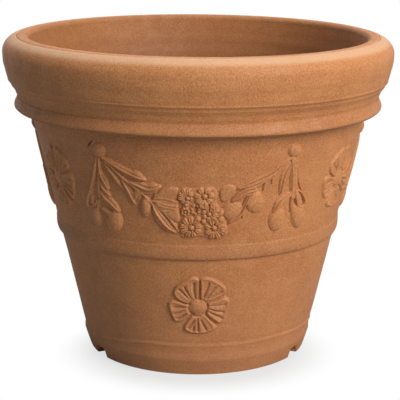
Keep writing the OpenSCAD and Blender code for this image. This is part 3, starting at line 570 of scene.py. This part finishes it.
class Nodes:
    """Short ways to add and join the shader nodes of a material or world."""

    def __init__(self, owner, empty=False):
        owner.use_nodes = True
        self.tree = owner.node_tree
        if empty:
            self.tree.nodes.clear()

    @cached_property
    def place(self):
        """Where a point lies in the frame of its object."""
        return self.add("ShaderNodeTexCoord").outputs["Object"]

    def add(self, kind, **settings):
        node = self.tree.nodes.new(kind)
        for key, value in settings.items():
            setattr(node, key, value)
        return node

    def join(self, source, target):
        self.tree.links.new(source, target)

    def put(self, value, target):
        if isinstance(value, bpy.types.NodeSocket):
            self.join(value, target)
        else:
            target.default_value = value

    def noise(self, scale, detail=3.0, rough=0.55, stretch=None):
        node = self.add("ShaderNodeTexNoise")
        place = self.place
        if stretch:
            turn = self.add("ShaderNodeMapping")
            turn.inputs["Scale"].default_value = stretch
            self.join(place, turn.inputs["Vector"])
            place = turn.outputs["Vector"]
        self.join(place, node.inputs["Vector"])
        node.inputs["Scale"].default_value = scale
        node.inputs["Detail"].default_value = detail
        node.inputs["Roughness"].default_value = rough
        return node.outputs["Fac"]

    def cells(self, scale):
        node = self.add("ShaderNodeTexVoronoi")
        self.join(self.place, node.inputs["Vector"])
        node.inputs["Scale"].default_value = scale
        return node.outputs["Distance"]

    def span(self, value, low, high, out_low=0.0, out_high=1.0):
        node = self.add("ShaderNodeMapRange", interpolation_type="SMOOTHSTEP")
        self.join(value, node.inputs["Value"])
        node.inputs["From Min"].default_value = low
        node.inputs["From Max"].default_value = high
        node.inputs["To Min"].default_value = out_low
        node.inputs["To Max"].default_value = out_high
        return node.outputs["Result"]

    def math(self, operation, a, b=0.0):
        node = self.add("ShaderNodeMath", operation=operation)
        self.put(a, node.inputs[0])
        self.put(b, node.inputs[1])
        return node.outputs["Value"]

    def times(self, a, b):
        return self.math("MULTIPLY", a, b)

    def mix(self, factor, a, b):
        node = self.add("ShaderNodeMix", data_type="RGBA")
        self.put(factor, node.inputs["Factor"])
        self.put(a, node.inputs["A"])
        self.put(b, node.inputs["B"])
        return node.outputs["Result"]

    def length(self, vector):
        node = self.add("ShaderNodeVectorMath", operation="LENGTH")
        self.join(vector, node.inputs[0])
        return node.outputs["Value"]

    def end(self, kind, factor, first, second):
        """Ends a tree in a mix of two shaders."""
        mixed = self.add("ShaderNodeMixShader")
        self.join(factor, mixed.inputs[0])
        self.join(first.outputs[0], mixed.inputs[1])
        self.join(second.outputs[0], mixed.inputs[2])
        self.join(mixed.outputs[0], self.add(kind).inputs["Surface"])


SPECK = (0.72, 0.47, 0.28, 1)
# painted highlight on the rim's outer crest
PAINTED_CREST_HIGHLIGHT = (0.7, 0.44, 0.265, 1)
GROUND_DUST = (0.5, 0.215, 0.1, 1)
# painted shade in pin holes, knocks and the grooves of a relief
PIN_HOLE_SHADE = (0.1, 0.045, 0.022, 1)
KNOCK_SHADE = (0.075, 0.03, 0.018, 1)
GROOVE_SHADE = (0.15, 0.062, 0.03, 1)

# Small knocks in the front of the wall, dented in and darkened with painted shade, each from one point to another with
# half its width, in metres.
CHIPS = [
    ((-0.1321, -0.1639, 0.2946), (-0.1264, -0.1709, 0.3038), 0.0021),
    ((-0.1864, -0.0914, 0.2826), (-0.174, -0.1126, 0.2812), 0.0019),
    ((-0.1745, -0.112, 0.281), (-0.1586, -0.1296, 0.2706), 0.0011),
]


def where_on_pot(n):
    """Height in metres, and the distance from the axis less what the wall's slope adds by that height."""
    place = n.add("ShaderNodeSeparateXYZ")
    n.join(n.place, place.inputs["Vector"])
    across = n.add("ShaderNodeCombineXYZ")
    n.join(place.outputs["X"], across.inputs["X"])
    n.join(place.outputs["Y"], across.inputs["Y"])
    up = place.outputs["Z"]
    return up, n.math("SUBTRACT", n.length(across.outputs["Vector"]), n.times(up, SLOPE))


def chipped(n, chips):
    """How far a point lies inside one of the knocks, from 0 outside to 1 in the middle."""
    rough = n.times(n.noise(260, 2), 0.7)
    total = 0.0
    for start, end, half in chips:
        way = Vector(end) - Vector(start)
        turn = n.add("ShaderNodeMapping", vector_type="TEXTURE")
        turn.inputs["Location"].default_value = (Vector(start) + Vector(end)) / 2
        turn.inputs["Rotation"].default_value = way.to_track_quat("X", "Z").to_euler()
        turn.inputs["Scale"].default_value = (way.length / 2 + half, half, half)
        n.join(n.place, turn.inputs["Vector"])
        inside = n.span(n.math("ADD", n.length(turn.outputs["Vector"]), rough), 1.4, 0.8)
        total = n.math("MAXIMUM", inside, total)
    return total


def tinted(colour, *factors):
    """A colour with each channel times a factor of its own."""
    return (*(c * f for c, f in zip(colour, factors)), 1)


def clay_material(name, base, deep, pale, hollow=0.0, chips=()):
    """Fired clay: broad firing shades, mottling, sandy grain, pale specks, pin holes and knocks darkened with painted
    shade, a painted highlight along the rim's outer crest, dust towards the ground and painted shade inside the pot,
    deeper further down. One argument is how strongly painted shade darkens the grooves of a relief."""
    material = bpy.data.materials.new(name)
    n = Nodes(material)
    broad = n.span(n.noise(7, 2), 0.35, 0.65)
    mottled = n.span(n.noise(42, 4, 0.6), 0.38, 0.64)
    streaked = n.span(n.noise(30, 3, 0.6, (0.25, 0.25, 3.0)), 0.4, 0.62)
    grain = n.noise(640, 1, 0.6)
    # firing shades, mottling, specks and grain
    colour = n.mix(n.times(broad, 0.45), base, deep)
    colour = n.mix(n.times(mottled, 0.27), colour, pale)
    colour = n.mix(n.times(streaked, 0.18), colour, deep)
    specks = n.span(n.cells(430), 0.16, 0.05)
    some = n.span(n.noise(160, 1), 0.48, 0.6)
    colour = n.mix(n.times(n.times(specks, some), 0.5), colour, SPECK)
    colour = n.mix(n.span(grain, 0.52, 0.68, 0.0, 0.46), colour, tinted(pale, 1.1, 1.15, 1.2))
    colour = n.mix(n.span(grain, 0.48, 0.32, 0.0, 0.38), colour, tinted(deep, 0.6, 0.55, 0.5))
    # painted highlight on the rim's outer crest, dust near the ground, painted shade inside the pot
    up, cone = where_on_pot(n)
    crest = n.times(n.span(up, 0.3998, 0.4058, 0.0, 0.48), n.span(cone, 0.133, 0.139))
    # painted highlight: the outer crest of the rim is lightened
    colour = n.mix(crest, colour, PAINTED_CREST_HIGHLIGHT)
    colour = n.mix(n.span(up, 0.2, 0.0, 0.0, 0.36), colour, GROUND_DUST)
    # painted shade inside the pot, stronger further down
    inside_shade = n.times(n.span(cone, 0.1275, 0.1245), n.span(up, 0.405, 0.33, 0.34, 0.6))
    colour = n.mix(inside_shade, colour, tinted(deep, 0.35, 0.33, 0.26))
    # pin holes in some places and knocks, both darkened with painted shade, and painted shade in the grooves of a
    # relief
    few = n.span(n.noise(38, 1), 0.56, 0.62)
    holes = n.times(n.span(n.cells(115), 0.11, 0.05), few)
    # painted shade in the pin holes
    colour = n.mix(n.times(holes, 0.6), colour, PIN_HOLE_SHADE)
    height = n.times(grain, 0.5)
    height = n.math("ADD", height, n.times(n.noise(210, 3, 0.6), 0.8))
    height = n.math("SUBTRACT", height, n.times(holes, 1.1))
    if chips:
        chip = chipped(n, chips)
        # painted shade in the knocks
        colour = n.mix(n.times(chip, 0.8), colour, KNOCK_SHADE)
        height = n.math("SUBTRACT", height, n.times(chip, 3.0))
    if hollow:
        deep_set = n.add("ShaderNodeAttribute", attribute_name="hollow").outputs["Fac"]
        # painted shade in the grooves of a relief
        colour = n.mix(n.times(deep_set, hollow), colour, GROOVE_SHADE)
    shader = n.tree.nodes["Principled BSDF"]
    n.join(colour, shader.inputs["Base Color"])
    n.join(n.span(n.noise(90, 3), 0.3, 0.7, 0.54, 0.7), shader.inputs["Roughness"])
    shader.inputs["Specular IOR Level"].default_value = 0.3  # dry clay has little sheen
    bump = n.add("ShaderNodeBump")
    bump.inputs["Strength"].default_value = 0.7
    bump.inputs["Distance"].default_value = 0.0006
    n.join(height, bump.inputs["Height"])
    n.join(bump.outputs["Normal"], shader.inputs["Normal"])
    return material


BODY_CLAY = clay_material(
    "body_clay", (0.48, 0.186, 0.061, 1), (0.37, 0.126, 0.041, 1), (0.6, 0.262, 0.101, 1), chips=CHIPS
)
FOOT_CLAY = clay_material("foot_clay", (0.41, 0.159, 0.055, 1), (0.31, 0.109, 0.037, 1), (0.51, 0.222, 0.09, 1))
BAND_CLAY = clay_material("band_clay", (0.43, 0.168, 0.058, 1), (0.33, 0.114, 0.039, 1), (0.54, 0.238, 0.098, 1))
RELIEF_CLAY = clay_material(
    "relief_clay", (0.5, 0.197, 0.067, 1), (0.39, 0.14, 0.047, 1), (0.63, 0.29, 0.122, 1), hollow=0.45
)


def stand_for(piece, node):
    """Hangs a piece under the root body and hides the CAD node that it stands for."""
    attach(piece, "root")
    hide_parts(node)


def dress(piece, node, material):
    """Gives a piece its clay and its place in the CAD."""
    piece.data.materials.append(material)
    stand_for(piece, node)


# ---- The body -----------------------------------------------------------------------------------------------------


def wall_shape(a, r, z):
    """Hand finish on the outer face, dying out where the wall runs up inside the rim, and on the inner face."""
    outer = np.abs(r - wall_radius(z)) < 0.01
    inner = np.abs(r - wall_radius(z) + WALL_THICK) < 0.01
    shift = np.where(outer, hand_work(a, z) * np.clip((400 - z) / 60, 0, 1) + crease(a, z), 0)
    ripple = 0.35 * np.sin(z / 2.9 + 1.3 * np.sin(a)) + 0.5 * hand_work(a + 1, z)
    return r + shift + np.where(inner, ripple * np.clip((398 - z) / 20, 0, 1), 0), z


def build_wall():
    outer = [(wall_radius(z), z) for z in np.concatenate([np.arange(30, 318, 2.0), np.arange(318, 404, 9.0)])]
    crest = [(233.5, 403), (231.4, 406), (231, 408.6), (230.4, 409.4), (229.2, 409.9), (227.5, 410), (222.6, 410)]
    lip_in = wall_radius(403.5) - WALL_THICK
    lip = arc(222.6, 403.5, 222.6 - lip_in, 6.5, 90, 180, 7)
    inner = [(wall_radius(z) - WALL_THICK, z) for z in np.append(np.arange(398, 30, -5.0), 30.0)]
    profile = np.vstack([outer, crest, lip, inner, [(137, 30), (143, 30)]])
    piece = turned("pot_wall_clay", profile, BODY_TURNS, wall_shape)
    dress(piece, "pot_wall", BODY_CLAY)


def belt_shape(a, r, z):
    """The belt rides on the wall's hand finish and wanders a little of its own."""
    out = np.clip((r - wall_radius(z) + 2) / 2, 0, 1)
    wander = 0.3 * soft_noise(a, z + 40, 9, 12, 40, 21)
    return r + out * (hand_work(a, z) + wander), z + 0.5 * np.sin(3 * a + 1.2) * np.clip((r - 178) / 2, 0, 1)


def build_belt():
    face = spline(
        [(178.6, 159.1), (180.9, 159.3), (182.6, 160.6), (183.8, 163), (184.5, 166.2), (184.7, 169.5)]
        + [(184.6, 173), (184.6, 176.4), (184.3, 178.2), (183.5, 179.6)],
        5,
    )
    profile = np.vstack([face, [(181, 179.6), (176.5, 159.1)]])
    piece = turned("belt_band_clay", profile, BODY_TURNS, belt_shape)
    dress(piece, "belt_band", BAND_CLAY)


def collar_shape(a, r, z):
    """The collar wanders a little on its outer side."""
    out = np.clip((r - 222) / 10, 0, 1)
    return r + out * 0.35 * soft_noise(a + 0.5, z - 300, 9, 6, 12, 31), z + out * 0.3 * np.sin(3 * a + 2)


def build_collar():
    face = spline(
        [(233.4, 319.4), (235.4, 320.6), (236.1, 322.4), (235.7, 324.6), (234.5, 327.6), (233.2, 330.6), (232.3, 334)],
        5,
    )
    profile = np.vstack([[(215, 318.6), (225, 318.6)], arc(232, 321.6, 3, 3, -90, -50, 4), face, [(219, 334)]])
    piece = turned("collar_band_clay", profile, BODY_TURNS, collar_shape)
    dress(piece, "collar_band", BAND_CLAY)


def rim_shape(a, r, z):
    """Two fine ridges, each with a faint dip above it, and the potter's hand, never outside the true rim."""
    out = np.clip((r - 229) / 4, 0, 1)
    for line, proud, half in ((349.6, 0.45, 1.1), (355.5, 0.5, 1.1), (352.6, -0.2, 1.1), (358.4, -0.1, 1.3)):
        r = r + out * proud * np.exp(-(((z - line - 0.3 * np.sin(2 * a + 0.5)) / half) ** 2))
    hand = 0.3 * soft_noise(a, z - 330, 10, 8, 14, 41) + 0.25 * soft_noise(a + 0.3, z - 330, 5, 4, 40, 43) - 0.55
    return r + out * hand, z + np.clip((z - 380) / 25, 0, 1) * out * (0.25 * np.sin(2 * a + 0.4) - 0.25)


def build_rim():
    under = spline(
        [(232, 333.6), (232.3, 335.5), (233.9, 338.5), (234.7, 340.6), (236.3, 344.3), (238.8, 347.8), (240.2, 350.4)]
        + [(242.3, 353.4), (243.8, 356.2), (245.5, 362), (247.2, 370), (248.7, 375.5), (249.6, 381), (250, 388.5)],
        6,
    )
    shoulder = arc(228, 389.5, 22, 20.5, 3, 76, 26)
    bead = [(232.6, 409.6), (231.9, 409.2), (231.3, 408.4), (231.1, 406.5)]
    profile = np.vstack([spaced(under, 0.45), shoulder, bead, [(232.6, 404), (224, 360), (219, 334)]])
    piece = turned("rim_band_clay", profile, BODY_TURNS, rim_shape)
    dress(piece, "rim_band", BODY_CLAY)


NOTCH_HALF = 13.0
NOTCH_HIGH = 12.5
NOTCH_RADIUS = 143  # where the notches' width is measured
NOTCH_AT = [math.radians(60), math.radians(180), math.radians(300)]
FOOT_RECESS = 13.9  # points below this height are lifted over a notch


def from_notch(a):
    """Angle from the nearest notch's middle."""
    return np.min([np.abs((a - c + math.pi) % (2 * math.pi) - math.pi) for c in NOTCH_AT], 0)


def foot_turns():
    """Angles round the foot, close together at the edges of the notches."""
    edge = NOTCH_HALF / NOTCH_RADIUS
    near = edge + np.array([-0.03, -0.015, -0.006, -0.002, -0.0005, 0.0, 0.004, 0.012, 0.025])
    inner = np.linspace(-edge + 0.035, edge - 0.035, 13)
    special = np.concatenate([c + np.concatenate([-near, inner, near]) for c in NOTCH_AT])
    plain = np.linspace(0, 2 * math.pi, 240, endpoint=False)
    clear = from_notch(plain) > edge + 0.03
    return np.sort(np.concatenate([plain[clear], special]) % (2 * math.pi))


def foot_shape(a, r, z):
    """Arched notches through the ring, a worn ground line, and the crease that sinks on to the foot at the sides."""
    off = from_notch(a) * NOTCH_RADIUS
    arch = np.where(off < NOTCH_HALF, np.sqrt(np.clip(1 - (off / NOTCH_HALF) ** 2, 0, 1)) * NOTCH_HIGH, 0)
    z = np.where(z < FOOT_RECESS, arch + z * (FOOT_RECESS - arch) / FOOT_RECESS, z)
    outer = np.clip((r - 140) / 3, 0, 1)
    return r + outer * (hand_work(a, z) * np.clip(z / 8, 0, 1) + crease(a, z) * np.clip(z / 12, 0, 1)), z


def build_foot():
    outer = [(141.6, 0), (142.6, 0.4), (143.1, 1.5)]
    outer += [(143.1 + 6.4 * s, 1.5 + 19.5 * s) for s in np.linspace(0.1, 1, 10)]
    outer += [(149.5, 23), (149.5, 25), (149.5, 27), (149.5, 28.5), (149.5, 30)]
    ring = [(143, 30), (137, 30), (130.2, 30), (130.2, 14), (117.2, 14), (117, 9), (117, 4), (117.3, 1), (118, 0)]
    ring += [(130, 0)]
    piece = turned("foot_ring_clay", np.vstack([outer, ring]), foot_turns(), foot_shape)
    dress(piece, "foot_ring", FOOT_CLAY)


def slab_shape(a, r, z):
    """Turning marks and a slight dish on the upper face."""
    top = np.clip((z - 28) / 2, 0, 1)
    return r, z - top * (0.5 + 0.3 * np.sin(r / 3.1 + 0.8 * a) + 0.6 * np.clip((60 - r) / 40, 0, 1))


def build_slab():
    under = [(19.2, 14), (129.6, 14), (129.9, 14.4), (129.9, 29.6), (129.5, 30)]
    top = [(r, 30) for r in np.arange(128, 22, -1.5)]
    hole = [(20.4, 30), (18.9, 29.4), (18.3, 28), (18.1, 22), (18.2, 16), (18.5, 14.6)]
    piece = turned("base_slab_clay", np.vstack([under, top, hole]), SLAB_TURNS, slab_shape)
    dress(piece, "base_slab", FOOT_CLAY)


# ---- The ornament -------------------------------------------------------------------------------------------------


def shade_hollows(piece, relief):
    """Stores how deep each point of a relief lies below the clay round it, for the painted shade in its grooves."""
    used = relief.covered()[2]
    depth = np.clip((relief.softened(relief.h, 1.6) - relief.h - 0.15) / 0.9, 0, 1)[used]
    layer = piece.data.attributes.new("hollow", "FLOAT", "POINT")
    layer.data.foreach_set("value", np.concatenate([depth, depth]).astype(np.float32))


def press(name, strokes, at=(0.0, 0.0), turn=0.0, pitch=0.65, soft=0.6, gain=1.0):
    """Presses one sprig on to the wall, and again on the other two thirds of the pot."""
    relief = Relief(strokes, pitch, soft, gain)
    first = relief.piece(f"{name}_1_clay", at, turn)
    shade_hollows(first, relief)
    dress(first, f"{name}_1", RELIEF_CLAY)
    for k in (2, 3):
        again = new_object(f"{name}_{k}_clay", first.data)
        again.rotation_euler[2] = math.radians(120 * (k - 1))
        stand_for(again, f"{name}_{k}")


build_wall()
build_belt()
build_collar()
build_rim()
build_foot()
build_slab()

press("flower_cluster", FLOWER_CLUSTER, pitch=0.45, soft=0.38)
press("swag_left", SWAG_LEFT)
press("swag_right", SWAG_RIGHT, pitch=0.5, soft=0.45)
press("pendant_left", PENDANT_LEFT)
press("pendant_right", PENDANT_RIGHT, pitch=0.5, soft=0.45)
press("knob_left", KNOB_LEFT, at=(-125.5, 293.0))
press("knob_right", KNOB_RIGHT, at=(118.5, 294.5))
press("wall_rosette", ROSETTE, at=(0.0, 243.0), turn=math.radians(60), pitch=0.6, soft=0.7, gain=0.74)
press("lower_rosette", ROSETTE, at=(-0.8, 96.2), pitch=0.6, soft=0.7, gain=0.84)


# ---- Floor, light and camera --------------------------------------------------------------------------------------

SKY = 0.19  # strength of the soft light from all round
FLOOR_WHITE = 0.68  # share of white that the camera sees in the floor right under the pot
SHADOW_FROM, SHADOW_TO = 0.1, 0.172  # distances between which the floor fades to plain white


def build_floor():
    """A floor that shows the pot's shadow close to its foot and fades to plain white round it."""
    mesh = bpy.data.meshes.new("floor")
    mesh.from_pydata([(-1.6, -1.6, 0), (1.6, -1.6, 0), (1.6, 1.6, 0), (-1.6, 1.6, 0)], [], [(0, 1, 2, 3)])
    floor = new_object("floor", mesh)
    floor.location.z = -0.0005
    material = bpy.data.materials.new("pale_floor")
    n = Nodes(material, empty=True)
    lit = n.add("ShaderNodeBsdfDiffuse")
    lit.inputs["Color"].default_value = (0.42, 0.42, 0.42, 1)
    white = n.add("ShaderNodeEmission")
    white.inputs["Strength"].default_value = 1.0
    shift = n.add("ShaderNodeVectorMath", operation="MULTIPLY_ADD")
    n.join(n.place, shift.inputs[0])
    shift.inputs[1].default_value = (0.9, 1, 1)
    shift.inputs[2].default_value = (0, 0.05, 0)
    fade = n.span(n.length(shift.outputs["Vector"]), SHADOW_FROM, SHADOW_TO, FLOOR_WHITE, 1.0)
    path = n.add("ShaderNodeLightPath")
    n.end("ShaderNodeOutputMaterial", n.times(path.outputs["Is Camera Ray"], fade), lit, white)
    mesh.materials.append(material)


def build_sky():
    """White where the camera or a reflection looks past the pot, and a soft blue light from all round."""
    world = bpy.data.worlds.new("studio")
    bpy.context.scene.world = world
    n = Nodes(world, empty=True)
    seen = n.add("ShaderNodeBackground")
    seen.inputs["Color"].default_value = (1, 1, 1, 1)
    seen.inputs["Strength"].default_value = 1.0
    soft = n.add("ShaderNodeBackground")
    soft.inputs["Color"].default_value = (0.5, 0.78, 1.0, 1)
    soft.inputs["Strength"].default_value = SKY
    path = n.add("ShaderNodeLightPath")
    seen_by = path.outputs["Is Camera Ray"]
    for ray in ("Is Glossy Ray", "Is Transmission Ray"):
        seen_by = n.math("MAXIMUM", seen_by, path.outputs[ray])
    n.end("ShaderNodeOutputWorld", seen_by, soft, seen)


def lamp(name, azimuth, elevation, distance, width, height, power, colour=(1, 1, 1)):
    """A soft rectangular lamp aimed at the middle of the pot. Azimuth 0 is in front and 90 on the right."""
    light = bpy.data.lights.new(name, "AREA")
    light.shape = "RECTANGLE"
    light.size, light.size_y = width, height
    light.energy = power
    light.color = colour
    obj = new_object(name, light)
    a, e = math.radians(azimuth), math.radians(elevation)
    way = Vector((math.sin(a) * math.cos(e), -math.cos(a) * math.cos(e), math.sin(e)))
    obj.location = Vector((0, 0, 0.2)) + way * distance
    obj.rotation_euler = (-way).to_track_quat("-Z", "Y").to_euler()


build_floor()
build_sky()
lamp("key", 42, 29, 4.0, 2.2, 2.2, 174, (1.0, 0.985, 0.96))
lamp("top", 195, 80, 2.6, 2.4, 2.4, 44)


CAMERA_AT = (-0.0161, -1.74993, 0.62045)


def build_camera():
    """The camera that was fitted to the photo, turned to the right, downwards and about its own axis."""
    yaw, pitch, roll = 0.0323, 0.2410, 0.0111
    level = Vector((math.cos(yaw), -math.sin(yaw), 0))
    ahead = Vector((math.sin(yaw), math.cos(yaw), 0))
    forward = ahead * math.cos(pitch) - Vector((0, 0, 1)) * math.sin(pitch)
    up = ahead * math.sin(pitch) + Vector((0, 0, 1)) * math.cos(pitch)
    right_axis = level * math.cos(roll) + up * math.sin(roll)
    up_axis = up * math.cos(roll) - level * math.sin(roll)
    camera = bpy.data.cameras.new("camera")
    camera.sensor_width = 36
    camera.lens = 122.9
    camera.shift_x = -0.07125
    obj = new_object("camera", camera)
    turn = Matrix((right_axis, up_axis, -forward)).transposed()
    obj.matrix_world = Matrix.Translation(CAMERA_AT) @ turn.to_4x4()
    bpy.context.scene.camera = obj


build_camera()
bpy.context.scene.view_settings.view_transform = "Standard"
